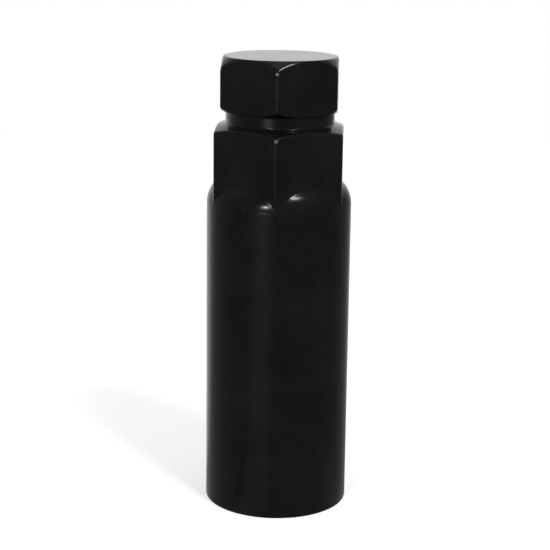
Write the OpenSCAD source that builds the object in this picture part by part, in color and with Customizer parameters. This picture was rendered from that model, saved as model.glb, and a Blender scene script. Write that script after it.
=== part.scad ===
// Locking wheel nut key: one forged and turned piece of coated steel.
// It stands on its open rim, centred on the origin, with the hexagon head up (+Z).
// Millimetres throughout. Both hexagons have a corner towards -Y.

/* [Whole key] */
// Length from the open rim to the flat head
key_l = 76; // [70:0.5:90]
// Wall of the round sleeve around the socket
wall_t = 1.8; // [1.4:0.1:3]
// Edge break round the outside of the rim
rim_break = 0.25; // [0.1:0.05:0.6]

/* [Small hexagon] */
// Width across the flats, for a 19 mm wheel wrench
small_flats = 19; // [18.5:0.1:20]
// Turned diameter that trims the corners
small_corner_d = 21.8; // [20:0.1:22]
// Length from the flat head to the neck
small_l = 8.9; // [7:0.1:12]
// Diameter of the flat head inside the crown chamfer
head_d = 18.6; // [16:0.1:19]
// Steepness of the crown chamfer, from level
crown_angle = 45; // [30:1:50]
// Diameter of the lower face inside its chamfer
small_foot_d = 19.4; // [19:0.1:20]
// Steepness of the lower chamfer, from level
foot_angle = 45; // [25:1:55]

/* [Neck] */
// Diameter of the turned neck between the hexagons
neck_d = 18; // [14:0.1:18.2]
// Height of the neck
neck_l = 2.1; // [1.2:0.1:5]
// Radius in the corners of the neck
neck_fillet = 0.35; // [0.1:0.05:0.4]

/* [Large hexagon] */
// Width across the flats, for a 21 mm wheel wrench
large_flats = 21; // [20:0.1:22.4]
// Turned diameter that trims the corners
large_corner_d = 24; // [23:0.1:25.8]
// Length of the flats, from the neck down to the shoulder
large_l = 9.7; // [7:0.1:14]
// Width of the level ring between the neck's lower radius and the crown chamfer
ring_w = 0.1; // [0.05:0.05:0.8]
// Steepness of the crown chamfer, from level
ring_angle = 20; // [15:1:45]

/* [Shoulder] */
// Radius of the rounded shoulder where the sleeve begins
shoulder_r = 5; // [3:0.1:8]
// Radius in the foot of the flats, where they run out into the shoulder
runout_r = 0.8; // [0.3:0.05:1.2]
// How far the run-out lies inside the flats at their middle
runout_inset = 0.1; // [0.05:0.01:0.2]

/* [Splined socket] */
// Bore that slides over the wheel nut
socket_d = 20.6; // [19:0.1:22]
// Depth of the full bore, from the rim
socket_l = 46; // [34:0.5:50]
// Number of ribs that key into the nut's flutes
rib_n = 6; // [4:1:8]
// Width of a rib, which has a half-round nose
rib_w = 2.6; // [1.6:0.1:4]
// Height of a rib above the bore
rib_h = 1; // [0.5:0.05:1.3]
// Where the ribs start, from the rim
rib_start = 2.4; // [1.6:0.1:6]
// Length of the ribs
rib_l = 28; // [12:0.5:32]
// Steepness of the ramps at both ends of a rib, from the axis
rib_ramp = 45; // [20:1:60]
// Depth of the lead-in cone at the mouth, along the axis
mouth_l = 1.2; // [0.5:0.1:2]
// Width of the lead-in cone, across the wall
mouth_w = 0.7; // [0.2:0.05:0.9]
// Angle of the drilled floor, from level
floor_angle = 31; // [10:1:45]

/* [Hidden] */

eps = 0.01;
round_fn = 96;
arc_fn = 64;

sleeve_r = socket_d / 2 + wall_t;
socket_r = socket_d / 2;
small_corner_r = small_corner_d / 2;
head_r = head_d / 2;
small_foot_r = small_foot_d / 2;
neck_r = neck_d / 2;
ring_r = neck_r + neck_fillet + ring_w;
large_flat_r = large_flats / 2;
large_corner_r = large_corner_d / 2;

// Heights above the rim, from the head down
neck_top_z = key_l - small_l;
neck_low_z = neck_top_z - neck_l;
shoulder_z = neck_low_z - large_l;

// The shoulder is an arc that leaves the sleeve without a step and meets the middle of each flat
// at shoulder_z. A sleeve that is narrower than the flats ends there, under the hexagon's foot.
has_shoulder = sleeve_r > large_flat_r;
shoulder_depth = has_shoulder ? sleeve_r - large_flat_r : 0;
shoulder_drop = sqrt(2 * shoulder_r * shoulder_depth - pow(shoulder_depth, 2));
sleeve_top_z = shoulder_z - shoulder_drop;
shoulder_x = sleeve_r - shoulder_r;

// The run-out is a hollow arc that ends upright, just inside the flats.
// It bites a little into the shoulder's arc, so that the two cross and don't only touch.
runout_bite = 0.01;
runout_x = large_flat_r - runout_inset + runout_r;
runout_reach = shoulder_r + runout_r - runout_bite;
runout_z = sleeve_top_z + sqrt(pow(runout_reach, 2) - pow(runout_x - shoulder_x, 2));

// Hexagonal prism with a corner towards -Y, standing on the plane z = 0
module hexagon_bar(flats, h) {
    linear_extrude(height = h)
        rotate(30)
            circle(r = flats / 2 / cos(30), $fn = 6);
}

// Upper hexagon: a turned disc with both edges chamfered, cut by six flats.
// Each flat meets the cones in an arch.
module small_hexagon() {
    foot_rise = (small_corner_r - small_foot_r) * tan(foot_angle);
    crown_drop = (small_corner_r - head_r) * tan(crown_angle);
    intersection() {
        translate([0, 0, neck_top_z])
            hexagon_bar(small_flats, small_l);
        rotate_extrude($fn = round_fn)
            polygon([
                [0, neck_top_z],
                [small_foot_r, neck_top_z],
                [small_corner_r, neck_top_z + foot_rise],
                [small_corner_r, key_l - crown_drop],
                [head_r, key_l],
                [0, key_l]
            ]);
    }
}

// Neck: a turned waist with a small radius in both corners, sunk into the hexagons at its ends
module neck() {
    waist_l = neck_l - 2 * neck_fillet;
    rotate_extrude($fn = round_fn)
        difference() {
            translate([0, neck_low_z - neck_l])
                square([neck_r + neck_fillet, 3 * neck_l]);
            translate([neck_r, neck_low_z + neck_fillet])
                square([neck_fillet + eps, waist_l]);
            for (z = [neck_low_z + neck_fillet, neck_top_z - neck_fillet])
                translate([neck_r + neck_fillet, z])
                    circle(r = neck_fillet, $fn = arc_fn);
        }
}

// Lower hexagon: a flatter crown cone, and corners turned to about the sleeve's diameter.
// Corners that stand out past the sleeve get a chamfered foot.
module large_hexagon() {
    ring_drop = (large_corner_r - ring_r) * tan(ring_angle);
    foot_r = min(sleeve_r, large_corner_r);
    foot_rise = (large_corner_r - foot_r) * tan(foot_angle);
    foot = foot_rise > 0 ? [[large_corner_r, sleeve_top_z + foot_rise]] : [];
    intersection() {
        translate([0, 0, sleeve_top_z])
            hexagon_bar(large_flats, neck_low_z - sleeve_top_z);
        rotate_extrude($fn = round_fn)
            polygon(concat(
                [[0, sleeve_top_z], [foot_r, sleeve_top_z]],
                foot,
                [[large_corner_r, neck_low_z - ring_drop], [ring_r, neck_low_z], [0, neck_low_z]]
            ));
    }
}

// Outline of the shoulder above the sleeve, from the axis outwards:
// the rounded shoulder, the hollow run-out cut from it, and the core behind them
module shoulder_outline() {
    difference() {
        union() {
            intersection() {
                translate([shoulder_x, sleeve_top_z])
                    circle(r = shoulder_r, $fn = arc_fn);
                translate([0, sleeve_top_z])
                    square([sleeve_r, runout_z - sleeve_top_z]);
            }
            polygon([
                [0, sleeve_top_z],
                [shoulder_x, sleeve_top_z],
                [runout_x, runout_z],
                [0, runout_z]
            ]);
        }
        translate([runout_x, runout_z])
            circle(r = runout_r, $fn = arc_fn);
    }
}

// Round sleeve with its rim and shoulder.
// One that is narrower than the flats reaches up into the hexagon instead.
module sleeve() {
    core_z = has_shoulder ? sleeve_top_z : sleeve_top_z + wall_t;
    rotate_extrude($fn = round_fn) {
        polygon([
            [0, 0],
            [sleeve_r - rim_break, 0],
            [sleeve_r, rim_break],
            [sleeve_r, core_z],
            [0, core_z]
        ]);
        if (has_shoulder) shoulder_outline();
    }
}

// Ribs of the socket: round bars along the wall, so that each nose is half round,
// with a ramp at the mouth end and another at the inner end
module ribs() {
    nose_r = socket_r - rib_h;
    ramp_l = (wall_t / 2 + rib_h) / tan(rib_ramp);
    back_r = socket_r + wall_t / 2;
    intersection() {
        for (i = [0 : rib_n - 1])
            rotate(i * 360 / rib_n)
                translate([nose_r + rib_w / 2, 0, rib_start])
                    cylinder(r = rib_w / 2, h = rib_l, $fn = arc_fn);
        rotate_extrude($fn = round_fn)
            polygon([
                [back_r, rib_start],
                [nose_r, rib_start + ramp_l],
                [nose_r, rib_start + rib_l - ramp_l],
                [back_r, rib_start + rib_l]
            ]);
    }
}

// Socket: a blind bore with a cone at the mouth and a drilled floor, less its ribs
module splined_socket() {
    floor_l = socket_r * tan(floor_angle);
    difference() {
        rotate_extrude($fn = round_fn)
            polygon([
                [0, -eps],
                [socket_r + mouth_w * (1 + eps / mouth_l), -eps],
                [socket_r, mouth_l],
                [socket_r, socket_l],
                [0, socket_l + floor_l]
            ]);
        ribs();
    }
}

module key_body() {
    color([0.1, 0.1, 0.11])
        difference() {
            union() {
                sleeve();
                large_hexagon();
                neck();
                small_hexagon();
            }
            splined_socket();
        }
}

key_body();
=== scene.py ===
"""Looks of the locking wheel nut key: the dressed body, its coating, and the studio it stands in.

Laid out as an add-on and run as a script. Lengths are metres, and the key stands on its rim at the
origin with its head up, as in the frame.
"""

import math

import bpy
import numpy as np
from bpy.props import FloatProperty, FloatVectorProperty, IntProperty, PointerProperty
from bpy.types import Operator, Panel, PropertyGroup
from mathutils import Matrix, Vector


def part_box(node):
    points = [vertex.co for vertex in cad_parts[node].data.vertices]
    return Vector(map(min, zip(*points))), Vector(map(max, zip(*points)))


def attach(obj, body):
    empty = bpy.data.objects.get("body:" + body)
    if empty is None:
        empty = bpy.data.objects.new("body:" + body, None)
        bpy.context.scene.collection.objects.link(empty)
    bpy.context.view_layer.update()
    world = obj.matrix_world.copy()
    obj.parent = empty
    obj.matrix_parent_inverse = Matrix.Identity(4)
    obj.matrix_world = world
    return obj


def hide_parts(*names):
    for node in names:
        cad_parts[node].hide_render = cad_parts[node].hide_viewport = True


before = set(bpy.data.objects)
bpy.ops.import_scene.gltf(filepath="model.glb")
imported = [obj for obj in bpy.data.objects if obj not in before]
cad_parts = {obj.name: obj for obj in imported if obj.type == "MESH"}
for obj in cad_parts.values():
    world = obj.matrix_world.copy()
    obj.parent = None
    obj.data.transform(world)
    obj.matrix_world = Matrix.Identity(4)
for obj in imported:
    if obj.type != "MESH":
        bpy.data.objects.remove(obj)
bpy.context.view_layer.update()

bl_info = {
    "name": "Wheel Nut Key",
    "version": (1, 0, 0),
    "blender": (4, 5, 0),
    "location": "3D View > Sidebar > Wheel Nut Key",
    "description": "Builds the dressed wheel nut key and its studio round the packed frame",
    "category": "Object",
}

NODE = "key_body"
BODY = "root"
MM = 0.001

SLEEVE_RADIUS, _, KEY_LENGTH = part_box(NODE)[1]

# Flats of a hexagon, and so sectors of the mesh
SECTORS = 6
# Columns in half a sector: over a rib, on to where the corner's columns start, and to the corner
RIB_COLUMNS = 9
FLAT_COLUMNS = 10
CORNER_COLUMNS = 19
CORNER_START = math.radians(26.0)
# Rows on a roll, down the shoulder, on a rib's ramp, along the rib, behind it, and over the
# socket's drilled floor
ROLL_ROWS = 7
SHOULDER_ROWS = 56
RAMP_ROWS = 13
RIB_ROWS = 8
RELIEF_ROWS = 6
DRILLED_ROWS = 10

# Share of a short side that the rolls at its ends take together
ROLL_SHARE = 0.9
# Guard rows keep a side flat next to a roll: this far off, or at this share of a short side
GUARD = 0.08 * MM
GUARD_SHARE = 0.04
# Widths over which creases are rounded where two surfaces cross
FOOT_CREASE = 0.1 * MM
SHOULDER_CREASE = 0.12 * MM
RIB_CREASE = 0.2 * MM
# How far the small hexagon's lower face stays inside its flats
FOOT_INSET = 0.05 * MM

# Patterns of the coating. A lay scales the place along the key: under 1 it draws the pattern out,
# and over 1 it presses the pattern flat.
CLOUD_SIZE = 11.0 * MM
PATCH_SIZE = 5.0 * MM
# Streaks, and how much they count against the clouds
STREAK_SIZE = 0.6 * MM
STREAK_LAY = (1.0, 1.0, 0.22)
STREAK_SHARE = 0.35
# Nicks, drawn as painted shade and highlight: their spacing, where they are full and where they
# end, the heights about their middle, in the lay's measure, between which the lower lip's painted
# highlight turns to the upper lip's painted shade, and how strong that highlight is
NICK_SPACING = 4.0 * MM
NICK_LAY = (1.0, 1.0, 3.5)
NICK_CORE = 0.24 * MM
NICK_REACH = 0.76 * MM
NICK_LOW = -0.5 * MM
NICK_HIGH = 0.2 * MM
NICK_HIGHLIGHT = 0.6
# Specks of dust: their spacing and the largest radius
SPECK_SPACING = 1.1 * MM
SPECK_REACH = 0.088 * MM
# Relief of the grain
GRAIN_RELIEF = 0.006 * MM

# Depths below the turned radius between which a corner strip's painted highlight ends
STRIP_CORE = 0.02 * MM
STRIP_REACH = 0.10 * MM
# How far the painted highlight strips reach down past the flats into the shoulder
STRIP_TAIL = 1.2 * MM
# Chips in the strips, and how much steel they show
CHIP_SIZE = 1.8 * MM
CHIP_BARE = 0.08
# Places along Y between which the painted highlight of the tips drops from all of it, on the front
# corners, to the share that the others have
TIP_HIGHLIGHT_FRONT = -10.0 * MM
TIP_HIGHLIGHT_REST = -7.0 * MM
TIP_HIGHLIGHT_SHARE = 0.2
# Reach of a tip's painted highlight from its middle. For the small and the large hexagon: how far
# the tip lies below the crown, how much faster it fades inwards than along the corner, and how
# strong its painted highlight is.
TIP_REACH = 0.45 * MM
TIPS = ((0.20 * MM, 2.6, 1.3), (0.4 * MM, 5.0, 0.45))

# The studio as the key's shine sees it: a plain grey tent with soft lobes on it. A lobe has a
# direction, the cosines at its edge and where it is full, and its height.
TENT_GREY = 0.5
TENT = (
    # White, behind the key and a little to the left
    ((-0.26, 0.966, 0.0), 0.6, 1.0, 0.82),
    # Darker, behind on the right
    ((0.82, 0.57, 0.0), 0.6, 0.95, -0.15),
    # Faint glow under the lamp in front on the left
    ((-0.38, -0.92, 0.0), 0.93, 1.0, 0.45),
    # Small panel behind on the right, which lights the crowns
    ((0.42, 0.80, 0.42), 0.93, 0.99, 0.8),
)
# Bright openings of the tent, which the floor doesn't repeat
OPENINGS = (
    # Overhead
    ((0.0, 0.0, 1.0), 0.95, 0.995, 1.7),
    # Slit past the floor's edge, in front on the left
    ((-0.37, -0.92, -0.12), 0.978, 1.0, 5.5),
)
# Strength of the air for everything but shine, and of the tent as the floor mirrors it
AIR_LEVEL = 0.9
FLOOR_MIRROR = 0.95
# The paper's own glow near the key and far from it, and the distances of these
GLOW_NEAR = 0.45
GLOW_FAR = 0.75
GLOW_START = 30.0 * MM
GLOW_END = 300.0 * MM
FLOOR_SIDES = 96

# The lamps: azimuth from the front towards the right and elevation, both in degrees, width,
# height and radiance. They are aimed at the shoulder, at this share of the key's length.
LAMP_AIM = 0.75
LAMP_DISTANCE = 550.0 * MM
LAMPS = {
    "Softbox front right": (37.5, 53.0, 100.0 * MM, 34.0 * MM, 200.0),
    "Softbox front left": (-18.5, 20.0, 58.0 * MM, 36.0 * MM, 240.0),
}


def length(name, description, millimetres):
    """A length property whose default is written in millimetres."""
    return FloatProperty(
        name=name,
        description=description,
        default=millimetres * MM,
        min=0.0,
        precision=5,
        unit="LENGTH",
        subtype="DISTANCE",
    )


def angle(name, description, degrees):
    """An angle property whose default is written in degrees."""
    return FloatProperty(
        name=name,
        description=description,
        default=math.radians(degrees),
        unit="ROTATION",
        subtype="ANGLE",
    )


def srgb(text):
    """Linear colour with alpha from an sRGB hex value."""
    values = [int(text[i:i + 2], 16) / 255 for i in (1, 3, 5)]
    return [v / 12.92 if v <= 0.04045 else ((v + 0.055) / 1.055) ** 2.4 for v in values] + [1.0]


def tint(name, description, text):
    """A colour property whose default is written as an sRGB hex value."""
    return FloatVectorProperty(
        name=name,
        description=description,
        default=srgb(text),
        min=0.0,
        max=1.0,
        size=4,
        subtype="COLOR",
    )


class KEY_PG_head(PropertyGroup):
    """Sizes of the two hexagons and the neck: the frame's, but for a flatter lower chamfer."""

    small_flats: length("Small flats", "Width of the small hexagon across its flats", 19.0)
    small_corner: length("Small corners", "Turned diameter that trims its corners", 21.8)
    small_length: length("Small length", "From the flat head to the neck", 8.9)
    head_width: length("Flat head", "Diameter of the flat head inside the crown", 18.6)
    crown_angle: angle("Crown", "Steepness of the crown chamfer, from level", 45.0)
    foot_width: length("Lower face", "Diameter of the small hexagon's lower face", 19.4)
    foot_angle: angle("Lower chamfer", "Steepness of the lower chamfer, from level", 32.0)
    neck_width: length("Neck", "Diameter of the neck", 18.0)
    neck_length: length("Neck height", "Height of the neck", 2.1)
    neck_fillet: length("Neck corners", "Radius in the corners of the neck", 0.35)
    large_flats: length("Large flats", "Width of the large hexagon across its flats", 21.0)
    large_corner: length("Large corners", "Turned diameter that trims its corners", 24.0)
    large_length: length("Large length", "From the neck to the shoulder", 9.7)
    ring_width: length("Ring", "Diameter of the level ring round the neck", 18.9)
    ring_angle: angle("Ring chamfer", "Steepness of the large crown, from level", 20.0)
    edge: length("Edge", "How far the rolled edges are broken", 0.12)
    crown_roll: length("Small crown roll", "How far the small crown's worn edge is rolled", 0.75)
    foot_roll: length("Small foot roll", "How far the small hexagon's lower edge is rolled", 0.45)
    ring_roll: length("Large crown roll", "How far the large crown's worn edge is rolled", 0.45)
    small_strip: length("Small strips", "How wide the small hexagon's corners are rolled", 0.16)
    large_strip: length("Large strips", "How wide the large hexagon's corners are rolled", 0.08)


class KEY_PG_sleeve(PropertyGroup):
    """Sizes of the shoulder, the sleeve and the socket."""

    shoulder_radius: length("Shoulder", "Radius of the rounded shoulder", 5.0)
    runout_radius: length("Run-out", "Radius in the foot of the flats", 0.8)
    runout_inset: length("Run-out inset", "How far the run-out lies inside the flats", 0.1)
    rim_break: length("Rim edge", "Edge break round the outside of the rim", 0.25)
    socket_width: length("Socket", "Diameter of the bore", 20.6)
    socket_depth: length("Socket depth", "Depth of the full bore", 46.0)
    floor_angle: angle("Socket floor", "Angle of the drilled floor, from level", 31.0)
    mouth_depth: length("Mouth depth", "Depth of the lead-in cone", 1.2)
    mouth_width: length("Mouth width", "Width of the lead-in cone across the wall", 0.7)
    rib_count: IntProperty(name="Ribs", description="Number of ribs", default=6, min=3, max=8)
    rib_width: length("Rib width", "Width of a rib", 2.6)
    rib_height: length("Rib height", "Height of a rib above the bore", 1.0)
    rib_start: length("Rib start", "Where the ribs start, from the rim", 2.4)
    rib_length: length("Rib length", "Length of the ribs", 28.0)


class KEY_PG_finish(PropertyGroup):
    """Colours, grain and gloss of the coating."""

    coat: tint("Coating", "Colour of the coating where it is thickest", "#030303")
    thin: tint("Thin coating", "Colour where the steel shows through a little", "#0F0F0F")
    # Pale specks of dust, and the painted highlight on the nicks' lower lips
    dust_and_nick_highlight: tint("Dust", "Colour of the specks and of the nicks' lower lips", "#222222")
    # Painted highlight along the hexagons' corner strips
    corner_highlight: tint("Rubbed corners", "Colour of the hexagons' rubbed corners", "#0A0A0A")
    # Pale steel in the chips, and the painted highlight at the corners' tips
    steel_and_tip_highlight: tint("Worn tips", "Colour of the bare steel at the corners' tips", "#6F6F6F")
    grain: length("Grain", "Size of the coating's grain", 0.35)
    roughness: FloatProperty(
        name="Roughness",
        description="Mean roughness of the coating",
        subtype="FACTOR",
        default=0.19,
        min=0.0,
        max=1.0,
    )
    cloudiness: FloatProperty(
        name="Cloudiness",
        description="How much the roughness changes over the clouds, up and down",
        subtype="FACTOR",
        default=0.02,
        min=0.0,
        max=0.2,
    )
    graininess: FloatProperty(
        name="Graininess",
        description="How much the roughness changes over the grain, up and down",
        subtype="FACTOR",
        default=0.03,
        min=0.0,
        max=0.2,
    )


class KEY_PG_studio(PropertyGroup):
    """Place of the camera and size of the floor."""

    distance: length("Distance", "Level distance from the key's axis to the camera", 245.1)
    height: length("Height", "Height of the camera above the floor", 100.4)
    azimuth: angle("Azimuth", "Turn of the camera round the key", 2.8)
    pitch: angle("Pitch", "How far the camera looks down", 14.05)
    yaw: angle("Yaw", "How far the camera looks to the left of the axis", 0.119)
    roll: angle("Roll", "Lean of the camera about its line of sight", 0.727)
    lens: FloatProperty(
        name="Lens",
        description="Focal length on a 36 mm sensor",
        default=97.79,
        unit="CAMERA",
    )
    floor_radius: length("Floor", "Radius of the floor", 420.0)


def soft_min(a, b, width):
    """Smaller of two values, with the crease between them rounded over the given width."""
    gap = np.maximum(width - np.abs(a - b), 0.0) / width
    return np.minimum(a, b) - gap * gap * width / 4


def soft_max(a, b, width):
    """Larger of two values, with the crease between them rounded over the given width."""
    return -soft_min(-a, -b, width)


def hex_radius(angles, flats, corner, strip):
    """Distance from the axis to a hexagon whose corners were turned off, for each angle.

    The flat gives half its width over the cosine of the angle from the flat's middle, and the
    turning gives a circle. A soft minimum takes the smaller one and rolls the edge between them.
    """
    sector = math.tau / SECTORS
    local = angles - sector * np.round(angles / sector)
    flat = flats / 2 / np.cos(local)
    return soft_min(flat, corner / 2, strip)


def column_angles(sleeve):
    """Angles of the mesh's columns, closest together at the corners.

    Half a sector is laid out from the middle of a flat, where a rib stands, over the rib's side
    and the rest of the flat to the corner. It is mirrored and then repeated for each sector.
    """
    reach = sleeve.rib_width / (sleeve.socket_width - sleeve.rib_height)
    over_rib = np.linspace(0.0, reach, RIB_COLUMNS)
    over_flat = np.linspace(reach, CORNER_START, FLAT_COLUMNS)[1:]
    to_corner = np.linspace(CORNER_START, math.pi / SECTORS, CORNER_COLUMNS)[1:]
    half = np.concatenate([over_rib, over_flat, to_corner])
    sector = np.concatenate([-half[:0:-1], half[:-1]])
    turns = np.arange(SECTORS) * math.tau / SECTORS
    return (turns[:, None] + sector[None, :]).ravel()


def rounded_outline(points, breaks):
    """Rows of an outline whose corners are rolled, for all columns at once.

    points are (radius, height) arrays, one value a column. At each inner point the outline leaves
    its first side at the break's distance and joins the second side as far past it, on a parabola
    whose control point is the sharp corner. Two rolls share most of a short side between them by
    their breaks. Guard rows next to each roll keep the sides flat.
    """
    rows = [points[0]]
    reaches = [0.0, *breaks, 0.0]
    for before, corner, after, last, reach, following in zip(
        points, points[1:], points[2:], reaches, reaches[1:], reaches[2:]
    ):
        to_before = before - corner
        to_after = after - corner
        room_before = np.linalg.norm(to_before, axis=0)
        room_after = np.linalg.norm(to_after, axis=0)
        share_before = ROLL_SHARE * room_before * reach / (reach + last)
        share_after = ROLL_SHARE * room_after * reach / (reach + following)
        cut = np.minimum(reach, np.minimum(share_before, share_after))
        start = corner + to_before / room_before * cut
        end = corner + to_after / room_after * cut
        guard_before = np.minimum(GUARD, room_before * GUARD_SHARE)
        guard_after = np.minimum(GUARD, room_after * GUARD_SHARE)
        rows.append(start + to_before / room_before * guard_before)
        for t in np.linspace(0.0, 1.0, ROLL_ROWS):
            rows.append((1 - t) ** 2 * start + 2 * t * (1 - t) * corner + t * t * end)
        rows.append(end + to_after / room_after * guard_after)
    rows.append(points[-1])
    return rows


def shoulder_radius_at(heights, sleeve, top, flat_r):
    """Radius of the turned shoulder at each height, and the height where the sleeve is full.

    The shoulder is an arc that leaves the sleeve upright and meets the flats' middle at the top.
    A smaller hollow arc touches it from above and ends upright, just inside the flats.
    """
    radius = sleeve.shoulder_radius
    hollow = sleeve.runout_radius
    depth = SLEEVE_RADIUS - flat_r
    full = top - math.sqrt(2 * radius * depth - depth**2)
    centre_r = SLEEVE_RADIUS - radius
    hollow_r = flat_r - sleeve.runout_inset + hollow
    hollow_z = full + math.sqrt((radius + hollow) ** 2 - (hollow_r - centre_r) ** 2)
    touch_z = full + (hollow_z - full) * radius / (radius + hollow)
    rise = np.clip(heights - full, 0.0, radius)
    round_part = centre_r + np.sqrt(radius**2 - rise**2)
    fall = np.clip(hollow_z - heights, 0.0, hollow)
    hollow_part = hollow_r - np.sqrt(hollow**2 - fall**2)
    return np.where(heights < touch_z, round_part, hollow_part), full


def socket_radius_at(angles, height, sleeve):
    """Radius of the socket at one height for each angle: the bore, less the ribs' half-round noses.

    A nose is the near side of a circle that stands at the wall. Ramps at both ends of the ribs
    bring the noses back to the wall.
    """
    bore = sleeve.socket_width / 2
    nose_r = bore - sleeve.rib_height
    round_r = sleeve.rib_width / 2
    centre = nose_r + round_r
    beyond = 2 * bore
    step = math.tau / sleeve.rib_count
    local = angles - step * np.round(angles / step)
    inside = np.maximum(round_r**2 - (centre * np.sin(local)) ** 2, 0.0)
    nose = np.where(
        centre * np.abs(np.sin(local)) < round_r, centre * np.cos(local) - np.sqrt(inside), beyond
    )
    last = sleeve.rib_start + sleeve.rib_length
    from_end = min(height - sleeve.rib_start, last - height)
    ramp = bore + (SLEEVE_RADIUS - bore) / 2 - from_end
    return soft_min(np.maximum(nose, ramp), np.full_like(angles, bore), RIB_CREASE)


def key_rows(head, sleeve, angles):
    """Rows of the key's outside, from the head's middle down to the rim and into the mouth.

    Each row is a pair of radius and height for all columns. The head and the rim are outlines
    with rolled corners. The shoulder between them is the larger of the hexagon and the turning.
    """
    ones = np.ones_like(angles)
    head_r = head.head_width / 2
    neck_r = head.neck_width / 2
    ring_r = head.ring_width / 2
    small_r = hex_radius(angles, head.small_flats, head.small_corner, head.small_strip)
    large_r = hex_radius(angles, head.large_flats, head.large_corner, head.large_strip)
    foot_r = soft_min(small_r - FOOT_INSET, head.foot_width / 2, FOOT_CREASE)
    neck_top = KEY_LENGTH - head.small_length
    neck_low = neck_top - head.neck_length
    shoulder_top = neck_low - head.large_length
    runout_top = shoulder_top + sleeve.runout_radius
    # From halfway out on the flat head, which the pole closes, to above the run-out of the flats
    points = [
        np.array([head_r / 2 * ones, KEY_LENGTH * ones]),
        np.array([head_r * ones, KEY_LENGTH * ones]),
        np.array([small_r, KEY_LENGTH - (small_r - head_r) * math.tan(head.crown_angle)]),
        np.array([small_r, neck_top + (small_r - foot_r) * math.tan(head.foot_angle)]),
        np.array([foot_r, neck_top * ones]),
        np.array([neck_r * ones, neck_top * ones]),
        np.array([neck_r * ones, neck_low * ones]),
        np.array([ring_r * ones, neck_low * ones]),
        np.array([large_r, neck_low - (large_r - ring_r) * math.tan(head.ring_angle)]),
        np.array([large_r, runout_top * ones]),
    ]
    # One break for each inner point
    breaks = [
        2 * head.edge,
        head.crown_roll,
        head.foot_roll,
        head.edge / 2,
        head.neck_fillet,
        head.neck_fillet,
        head.edge,
        head.ring_roll,
    ]
    rows = rounded_outline(points, breaks)

    flat_r = head.large_flats / 2
    full = shoulder_radius_at(np.zeros(1), sleeve, shoulder_top, flat_r)[1]
    for height in np.linspace(runout_top, full, SHOULDER_ROWS)[1:]:
        turned, _ = shoulder_radius_at(height * ones, sleeve, shoulder_top, flat_r)
        radius = np.minimum(soft_max(large_r, turned, SHOULDER_CREASE), SLEEVE_RADIUS)
        rows.append(np.array([radius, height * ones]))

    bore = sleeve.socket_width / 2
    rim = [
        np.array([SLEEVE_RADIUS * ones, full * ones]),
        np.array([SLEEVE_RADIUS * ones, np.zeros_like(ones)]),
        np.array([(bore + sleeve.mouth_width) * ones, np.zeros_like(ones)]),
        np.array([bore * ones, sleeve.mouth_depth * ones]),
        np.array([bore * ones, sleeve.rib_start * ones]),
    ]
    rows.extend(rounded_outline(rim, [sleeve.rim_break, head.edge / 2, head.edge])[1:])
    return rows


def socket_rows(sleeve, angles):
    """Rows of the socket behind its mouth, up the ribs and over the drilled floor.

    A rib's ramp lies within twice the rib's height of its end, so rows are closer together there.
    """
    ones = np.ones_like(angles)
    bore = sleeve.socket_width / 2
    last = sleeve.rib_start + sleeve.rib_length
    ramp = sleeve.rib_height * 2
    heights = np.concatenate([
        np.linspace(sleeve.rib_start, sleeve.rib_start + ramp, RAMP_ROWS)[1:],
        np.linspace(sleeve.rib_start + ramp, last - ramp, RIB_ROWS)[1:],
        np.linspace(last - ramp, last, RAMP_ROWS)[1:],
        np.linspace(last, sleeve.socket_depth, RELIEF_ROWS)[1:],
    ])
    rows = [np.array([socket_radius_at(angles, h, sleeve), h * ones]) for h in heights]
    for share in np.linspace(1.0, 0.0, DRILLED_ROWS)[1:-1]:
        rise = bore * (1 - share) * math.tan(sleeve.floor_angle)
        rows.append(np.array([bore * share * ones, (sleeve.socket_depth + rise) * ones]))
    return rows


def revolve(name, rows, angles, first_pole, last_pole):
    """A closed mesh from rows of radius and height, one vertex a column, with a pole at each end.

    A vertex stands at radius times cosine and sine of its column's angle. Quads run between
    neighbouring rows and columns, and fans of triangles close the poles.
    """
    radius = np.array([row[0] for row in rows])
    height = np.array([row[1] for row in rows])
    count, columns = radius.shape
    grid = np.stack([radius * np.cos(angles), radius * np.sin(angles), height], axis=2)
    verts = np.concatenate([grid.reshape(-1, 3), [[0, 0, first_pole], [0, 0, last_pole]]])
    here = np.arange(columns)
    following = (here + 1) % columns
    row = np.arange(count - 1)[:, None] * columns
    quads = np.stack(
        [row + here, row + columns + here, row + columns + following, row + following], axis=2
    ).reshape(-1, 4)
    first, last = len(verts) - 2, len(verts) - 1
    end = (count - 1) * columns
    fan_a = np.stack([np.full(columns, first), here, following], axis=1)
    fan_b = np.stack([end + here, np.full(columns, last), end + following], axis=1)
    mesh = bpy.data.meshes.new(name)
    mesh.from_pydata(verts.tolist(), [], quads.tolist() + fan_a.tolist() + fan_b.tolist())
    mesh.polygons.foreach_set("use_smooth", np.ones(len(mesh.polygons), dtype=bool))
    mesh.update()
    if mesh.validate():
        raise RuntimeError("the mesh of " + name + " had to be repaired")
    piece = bpy.data.objects.new(name, mesh)
    bpy.context.scene.collection.objects.link(piece)
    return piece


def add(tree, kind, settings=None, **inputs):
    """Adds a node, sets its properties, and sets or links its inputs by name or number.

    A name has underscores for its spaces, and a number has one before it. A node that is given
    for an input links its first output.
    """
    node = tree.nodes.new(kind)
    for key, value in (settings or {}).items():
        setattr(node, key, value)
    for key, value in inputs.items():
        socket = node.inputs[int(key[1:])] if key[0] == "_" else node.inputs[key.replace("_", " ")]
        if isinstance(value, bpy.types.Node):
            value = value.outputs[0]
        if isinstance(value, bpy.types.NodeSocket):
            tree.links.new(value, socket)
        else:
            socket.default_value = value
    return node


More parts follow.
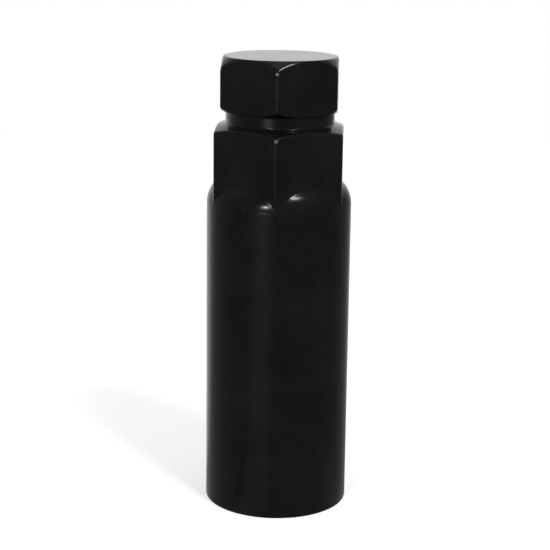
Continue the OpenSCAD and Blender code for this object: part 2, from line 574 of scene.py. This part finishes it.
def sound_coat(tree, place, cloud, finish):
    """Colour of the unhurt coating, from thick to thin.

    It follows the clouds, where the coating took unevenly, and fine streaks along the key, where
    the forging was drawn and handled.
    """
    drawn = add(tree, "ShaderNodeVectorMath", {"operation": "MULTIPLY"}, _0=place, _1=STREAK_LAY)
    streak = add(tree, "ShaderNodeTexNoise", Vector=drawn, Scale=1 / STREAK_SIZE)
    uneven = add(
        tree, "ShaderNodeMath", {"operation": "MULTIPLY_ADD"}, _0=streak, _1=STREAK_SHARE, _2=cloud
    )
    thin = add(tree, "ShaderNodeMapRange", Value=uneven, From_Min=0.42, From_Max=1.0)
    return add(
        tree, "ShaderNodeMix", {"data_type": "RGBA"}, _0=thin, _6=finish.coat, _7=finish.thin
    ).outputs[2]


def painted_nicks(tree, place, patch, colour, finish):
    """Colour with short nicks across the key, in patches.

    Each nick stands for a shallow dent round the middle of a cell, pressed flat along the key. Its
    light and shade are painted: black painted shade at its upper lip and a painted highlight at its
    lower one.
    """
    laid = add(tree, "ShaderNodeVectorMath", {"operation": "MULTIPLY"}, _0=place, _1=NICK_LAY)
    cells = add(tree, "ShaderNodeTexVoronoi", Vector=laid, Scale=1 / NICK_SPACING)
    within = add(
        tree, "ShaderNodeMapRange", {"interpolation_type": "SMOOTHSTEP"}, Value=cells,
        From_Min=NICK_CORE / NICK_SPACING, From_Max=NICK_REACH / NICK_SPACING,
        To_Min=1.0, To_Max=0.0,
    )
    often = add(tree, "ShaderNodeMapRange", Value=patch, From_Min=0.40, From_Max=0.48)
    nick_shading = add(tree, "ShaderNodeMath", {"operation": "MULTIPLY"}, _0=within, _1=often)
    offset = add(
        tree, "ShaderNodeVectorMath", {"operation": "SUBTRACT"}, _0=laid,
        _1=cells.outputs["Position"],
    )
    rise = add(tree, "ShaderNodeSeparateXYZ", Vector=offset).outputs["Z"]
    # Painted highlight on each nick's lower lip, and black painted shade on its upper lip
    lip_highlight = add(
        tree, "ShaderNodeMapRange", Value=rise, From_Min=NICK_LOW, From_Max=NICK_HIGH,
        To_Min=NICK_HIGHLIGHT, To_Max=0.0,
    )
    nick_shade_and_highlight = add(
        tree, "ShaderNodeMix", {"data_type": "RGBA"}, _0=lip_highlight, _6=srgb("#000000"), _7=finish.dust_and_nick_highlight
    )
    return add(
        tree, "ShaderNodeMix", {"data_type": "RGBA"}, _0=nick_shading, _6=colour, _7=nick_shade_and_highlight.outputs[2]
    ).outputs[2]


def specked(tree, place, patch, colour, finish):
    """Colour with sparse pale specks of dust, up to 0.18 mm wide, where the patches are densest."""
    cells = add(tree, "ShaderNodeTexVoronoi", Vector=place, Scale=1 / SPECK_SPACING)
    size = add(
        tree, "ShaderNodeMapRange", Value=patch, From_Min=0.5, From_Max=0.75,
        To_Max=SPECK_REACH / SPECK_SPACING,
    )
    dot = add(tree, "ShaderNodeMath", {"operation": "LESS_THAN"}, _0=cells, _1=size)
    return add(
        tree, "ShaderNodeMix", {"data_type": "RGBA"}, _0=dot, _6=colour, _7=finish.dust_and_nick_highlight
    ).outputs[2]


def corners_highlit_and_chipped(tree, place, colour, finish, head):
    """Colour with painted highlights on the hexagons' corner strips and tips, and chips of steel.

    The corners alone stand out to their turned radius, so the depth below it finds them.
    """
    neck_middle = KEY_LENGTH - head.small_length - head.neck_length / 2
    flats_low = KEY_LENGTH - head.small_length - head.neck_length - head.large_length
    across = add(
        tree, "ShaderNodeVectorMath", {"operation": "MULTIPLY"}, _0=place, _1=(1.0, 1.0, 0.0)
    )
    radius = add(tree, "ShaderNodeVectorMath", {"operation": "LENGTH"}, _0=across)
    parts = add(tree, "ShaderNodeSeparateXYZ", Vector=place)
    level = parts.outputs["Z"]
    small = add(tree, "ShaderNodeMath", {"operation": "GREATER_THAN"}, _0=level, _1=neck_middle)
    turned = add(
        tree, "ShaderNodeMath", {"operation": "MULTIPLY_ADD"}, _0=small,
        _1=(head.small_corner - head.large_corner) / 2, _2=head.large_corner / 2,
    )
    depth = add(
        tree, "ShaderNodeMath", {"operation": "SUBTRACT"}, _0=turned, _1=radius.outputs["Value"]
    )
    corner = add(
        tree, "ShaderNodeMapRange", Value=depth, From_Min=STRIP_CORE, From_Max=STRIP_REACH,
        To_Min=1.0, To_Max=0.0,
    )
    flats = add(
        tree, "ShaderNodeMath", {"operation": "GREATER_THAN"}, _0=level, _1=flats_low - STRIP_TAIL
    )
    corner_highlight = add(tree, "ShaderNodeMath", {"operation": "MULTIPLY"}, _0=corner, _1=flats)
    # Painted highlight along the corner strips
    grey = add(
        tree, "ShaderNodeMix", {"data_type": "RGBA"}, _0=corner_highlight, _6=colour, _7=finish.corner_highlight
    )

    # The small hexagon's corners are chipped here and there
    chips = add(tree, "ShaderNodeTexNoise", Vector=place, Scale=1 / CHIP_SIZE, Detail=1.0)
    chipped = add(
        tree, "ShaderNodeMapRange", Value=chips, From_Min=0.54, From_Max=0.74, To_Max=CHIP_BARE
    )
    upper = add(tree, "ShaderNodeMath", {"operation": "MULTIPLY"}, _0=corner_highlight, _1=small)
    chips_and_tip_highlight = add(tree, "ShaderNodeMath", {"operation": "MULTIPLY"}, _0=chipped, _1=upper)

    # Just below each crown a small round pale spot is painted on the corner's tip as a highlight.
    # The front corners get most of that painted highlight.
    front_tip_highlight = add(
        tree, "ShaderNodeMapRange", Value=parts.outputs["Y"],
        From_Min=TIP_HIGHLIGHT_FRONT, From_Max=TIP_HIGHLIGHT_REST, To_Min=1.0, To_Max=TIP_HIGHLIGHT_SHARE,
    )
    crown_drop = (head.small_corner - head.head_width) / 2 * math.tan(head.crown_angle)
    ring_drop = (head.large_corner - head.ring_width) / 2 * math.tan(head.ring_angle)
    crowns = (
        KEY_LENGTH - crown_drop,
        KEY_LENGTH - head.small_length - head.neck_length - ring_drop,
    )
    # steel sets how strongly a tip's painted highlight shows
    for crown, (drop, fade, steel) in zip(crowns, TIPS):
        away = add(tree, "ShaderNodeMath", {"operation": "SUBTRACT"}, _0=level, _1=crown - drop)
        inward = add(tree, "ShaderNodeMath", {"operation": "MULTIPLY"}, _0=depth, _1=fade)
        gap = add(tree, "ShaderNodeCombineXYZ", X=inward, Y=0.0, Z=away)
        far = add(tree, "ShaderNodeVectorMath", {"operation": "LENGTH"}, _0=gap)
        spot = add(
            tree, "ShaderNodeMapRange", {"interpolation_type": "SMOOTHSTEP"},
            Value=far.outputs["Value"], From_Max=TIP_REACH, To_Min=steel, To_Max=0.0,
        )
        tip = add(tree, "ShaderNodeMath", {"operation": "MULTIPLY"}, _0=spot, _1=front_tip_highlight)
        chips_and_tip_highlight = add(tree, "ShaderNodeMath", {"operation": "MAXIMUM"}, _0=chips_and_tip_highlight, _1=tip)
    return add(
        tree, "ShaderNodeMix", {"data_type": "RGBA"}, _0=chips_and_tip_highlight, _6=grey.outputs[2], _7=finish.steel_and_tip_highlight
    ).outputs[2]


def coating(finish, head):
    """Black coating on forged steel: a thin, weakly shining satin skin with fine grain.

    The front reads near black and only grazing faces turn pale, so the skin's index is lower
    than the 1.5 of a full coat of paint.
    """
    material = bpy.data.materials.new("Black coated steel, satin")
    material.use_nodes = True
    tree = material.node_tree
    tree.nodes.clear()
    place = add(tree, "ShaderNodeTexCoord").outputs["Object"]
    # Wide, soft clouds: the coating reads a little paler and duller in places
    cloud = add(
        tree, "ShaderNodeTexNoise", Vector=place, Scale=1 / CLOUD_SIZE, Detail=3.0, Roughness=0.6
    )
    # Patches where the key was knocked and gathered dust
    patch = add(tree, "ShaderNodeTexNoise", Vector=place, Scale=1 / PATCH_SIZE)
    colour = sound_coat(tree, place, cloud, finish)
    colour = painted_nicks(tree, place, patch, colour, finish)
    colour = specked(tree, place, patch, colour, finish)
    colour = corners_highlit_and_chipped(tree, place, colour, finish, head)

    # Fine grain of the blasted steel under the coating, which breaks up the shine
    grain = add(
        tree, "ShaderNodeTexNoise", Vector=place, Scale=1 / finish.grain, Detail=4.0, Roughness=0.65
    )
    spread = add(
        tree, "ShaderNodeMapRange", Value=cloud, From_Min=0.3, From_Max=0.7,
        To_Min=finish.roughness - finish.cloudiness, To_Max=finish.roughness + finish.cloudiness,
    )
    fine = add(
        tree, "ShaderNodeMapRange", Value=grain, From_Min=0.3, From_Max=0.7,
        To_Min=-finish.graininess, To_Max=finish.graininess,
    )
    rough = add(tree, "ShaderNodeMath", {"operation": "ADD"}, _0=spread, _1=fine)
    relief = add(tree, "ShaderNodeBump", Strength=0.5, Distance=GRAIN_RELIEF, Height=grain)
    skin = add(
        tree, "ShaderNodeBsdfPrincipled", Base_Color=colour, Roughness=rough, IOR=1.2,
        Normal=relief,
    )
    add(tree, "ShaderNodeOutputMaterial", Surface=skin)
    return material


def shine_level(tree, way, lobes):
    """Brightness that the key's shine meets in a direction: the tent's grey and the lobes on it.

    A lobe grows smoothly from its edge to where it is full, by the cosine of the angle between
    the direction and its own.
    """
    level = TENT_GREY
    for direction, edge, full, height in lobes:
        cosine = add(
            tree, "ShaderNodeVectorMath", {"operation": "DOT_PRODUCT"}, _0=way, _1=direction
        )
        lobe = add(
            tree, "ShaderNodeMapRange", {"interpolation_type": "SMOOTHSTEP"},
            Value=cosine.outputs["Value"], From_Min=edge, From_Max=full, To_Max=height,
        )
        level = add(tree, "ShaderNodeMath", {"operation": "ADD"}, _0=level, _1=lobe)
    return level


def seen_directly(tree, path):
    """One for what the camera sees, straight or through glass, and zero for all other rays."""
    return add(
        tree, "ShaderNodeMath", {"operation": "MAXIMUM"}, _0=path.outputs["Is Camera Ray"],
        _1=path.outputs["Is Transmission Ray"],
    )


def floor_material():
    """Pale studio paper, matt: white to the camera, with only the key's soft shadow left on it.

    The paper's own grey and a glow add up to that white. Near the key the glow is weaker, so that
    the shadow stays. To the key's shine the paper is the tent's grey, a little dimmed.
    """
    material = bpy.data.materials.new("Studio paper, matt")
    material.use_nodes = True
    tree = material.node_tree
    tree.nodes.clear()
    path = add(tree, "ShaderNodeLightPath")
    place = add(tree, "ShaderNodeTexCoord").outputs["Object"]
    out = add(tree, "ShaderNodeVectorMath", {"operation": "LENGTH"}, _0=place)
    paler = add(
        tree, "ShaderNodeMapRange", {"interpolation_type": "SMOOTHSTEP"},
        Value=out.outputs["Value"], From_Min=GLOW_START, From_Max=GLOW_END,
        To_Min=GLOW_NEAR, To_Max=GLOW_FAR,
    )
    seen = seen_directly(tree, path)
    glow = add(tree, "ShaderNodeMath", {"operation": "MULTIPLY"}, _0=seen, _1=paler)
    paper = add(
        tree, "ShaderNodeBsdfPrincipled", Base_Color=srgb("#B5B5B5"), Roughness=1.0,
        Specular_IOR_Level=0.0, Emission_Color=srgb("#FFFFFF"), Emission_Strength=glow,
    )
    way = add(tree, "ShaderNodeVectorMath", {"operation": "NORMALIZE"}, _0=place)
    shine = shine_level(tree, way, TENT)
    dimmed = add(tree, "ShaderNodeMath", {"operation": "MULTIPLY"}, _0=shine, _1=FLOOR_MIRROR)
    mirrored = add(tree, "ShaderNodeEmission", Strength=dimmed)
    both = add(
        tree, "ShaderNodeMixShader", _0=path.outputs["Is Glossy Ray"], _1=paper, _2=mirrored
    )
    add(tree, "ShaderNodeOutputMaterial", Surface=both)
    return material


def studio_world():
    """White studio air: full white to camera and glass, and the grey tent to the key's shine."""
    world = bpy.data.worlds.new("White studio")
    bpy.context.scene.world = world
    world.use_nodes = True
    tree = world.node_tree
    tree.nodes.clear()
    path = add(tree, "ShaderNodeLightPath")
    way = add(tree, "ShaderNodeTexCoord").outputs["Generated"]
    shine = shine_level(tree, way, (*TENT, *OPENINGS))
    plain = add(
        tree, "ShaderNodeMix", {"data_type": "FLOAT"}, _0=path.outputs["Is Glossy Ray"],
        _2=AIR_LEVEL, _3=shine,
    )
    seen = seen_directly(tree, path)
    level = add(tree, "ShaderNodeMix", {"data_type": "FLOAT"}, _0=seen, _2=plain, _3=1.0)
    air = add(tree, "ShaderNodeBackground", Color=srgb("#FFFFFF"), Strength=level)
    add(tree, "ShaderNodeOutputWorld", Surface=air)


def area_lamp(name, azimuth, elevation, width, height, radiance):
    """A rectangular lamp aimed at the key's shoulder, given by its direction and its radiance.

    Its power is pi times radiance times area.
    """
    lamp = bpy.data.lights.new(name, "AREA")
    lamp.shape = "RECTANGLE"
    lamp.size = width
    lamp.size_y = height
    lamp.energy = math.pi * radiance * width * height
    a, e = math.radians(azimuth), math.radians(elevation)
    back = Vector((math.sin(a) * math.cos(e), -math.cos(a) * math.cos(e), math.sin(e)))
    side = Vector((math.cos(a), math.sin(a), 0.0))
    axes = Matrix((side, back.cross(side), back)).transposed().to_4x4()
    aim = Vector((0.0, 0.0, KEY_LENGTH * LAMP_AIM))
    stand = bpy.data.objects.new(name, lamp)
    stand.visible_camera = False
    stand.matrix_world = Matrix.Translation(aim + back * LAMP_DISTANCE) @ axes
    bpy.context.scene.collection.objects.link(stand)


def studio_floor(radius):
    """The floor: a round sheet of paper under the key's rim, as one face."""
    turn = np.arange(FLOOR_SIDES) * math.tau / FLOOR_SIDES
    ring = np.stack([radius * np.cos(turn), radius * np.sin(turn), np.zeros(FLOOR_SIDES)], axis=1)
    mesh = bpy.data.meshes.new("floor")
    mesh.from_pydata(ring.tolist(), [], [list(range(FLOOR_SIDES))])
    mesh.materials.append(floor_material())
    floor = bpy.data.objects.new("floor", mesh)
    bpy.context.scene.collection.objects.link(floor)


def studio_camera(studio):
    """The camera at its distance and height, turned towards the key, tilted down, and rolled."""
    lens = bpy.data.cameras.new("camera")
    lens.sensor_width = 36.0
    lens.lens = studio.lens
    lens.clip_start = 10.0 * MM
    camera = bpy.data.objects.new("camera", lens)
    place = Vector((
        studio.distance * math.sin(studio.azimuth),
        -studio.distance * math.cos(studio.azimuth),
        studio.height,
    ))
    turned = (
        Matrix.Rotation(studio.azimuth + studio.yaw, 4, "Z")
        @ Matrix.Rotation(math.pi / 2 - studio.pitch, 4, "X")
        @ Matrix.Rotation(studio.roll, 4, "Z")
    )
    camera.matrix_world = Matrix.Translation(place) @ turned
    bpy.context.scene.collection.objects.link(camera)
    bpy.context.scene.camera = camera


class KEY_OT_body(Operator):
    """Build the dressed body of the key: hexagons, neck, shoulder, sleeve and splined socket"""

    bl_idname = "key.build_body"
    bl_label = "Build body"

    def execute(self, context):
        head, sleeve = context.scene.key_head, context.scene.key_sleeve
        angles = column_angles(sleeve)
        rows = key_rows(head, sleeve, angles) + socket_rows(sleeve, angles)
        apex = sleeve.socket_depth + sleeve.socket_width / 2 * math.tan(sleeve.floor_angle)
        body = revolve("key_body_dressed", rows, angles, KEY_LENGTH, apex)
        body.data.materials.append(coating(context.scene.key_finish, head))
        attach(body, BODY)
        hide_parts(NODE)
        return {"FINISHED"}


class KEY_OT_studio(Operator):
    """Build the studio: floor, white air, lamps and camera"""

    bl_idname = "key.build_studio"
    bl_label = "Build studio"

    def execute(self, context):
        studio = context.scene.key_studio
        studio_floor(studio.floor_radius)
        studio_world()
        for name, values in LAMPS.items():
            area_lamp(name, *values)
        studio_camera(studio)
        context.scene.view_settings.view_transform = "Standard"
        return {"FINISHED"}


class KEY_PT_panel(Panel):
    """Sidebar panel with the key's sizes and its build steps"""

    bl_idname = "KEY_PT_panel"
    bl_label = "Wheel Nut Key"
    bl_space_type = "VIEW_3D"
    bl_region_type = "UI"
    bl_category = "Wheel Nut Key"

    def draw(self, context):
        for title, group in (
            ("Head", context.scene.key_head),
            ("Sleeve", context.scene.key_sleeve),
            ("Finish", context.scene.key_finish),
            ("Studio", context.scene.key_studio),
        ):
            box = self.layout.box()
            box.label(text=title)
            for name in group.bl_rna.properties.keys():
                if name not in {"rna_type", "name"}:
                    box.prop(group, name)
        for step in OPERATORS:
            self.layout.operator(step.bl_idname)


GROUPS = {
    "key_head": KEY_PG_head,
    "key_sleeve": KEY_PG_sleeve,
    "key_finish": KEY_PG_finish,
    "key_studio": KEY_PG_studio,
}
OPERATORS = (KEY_OT_body, KEY_OT_studio)
CLASSES = (*GROUPS.values(), *OPERATORS, KEY_PT_panel)


def register():
    """Registers the classes and hangs the property groups on the scene."""
    for cls in CLASSES:
        bpy.utils.register_class(cls)
    for name, group in GROUPS.items():
        setattr(bpy.types.Scene, name, PointerProperty(type=group))


def unregister():
    """Takes the property groups off the scene and unregisters the classes."""
    for name in GROUPS:
        delattr(bpy.types.Scene, name)
    for cls in reversed(CLASSES):
        bpy.utils.unregister_class(cls)


def main():
    """Builds everything in order."""
    register()
    bpy.ops.key.build_body()
    bpy.ops.key.build_studio()


if __name__ == "__main__":
    main()
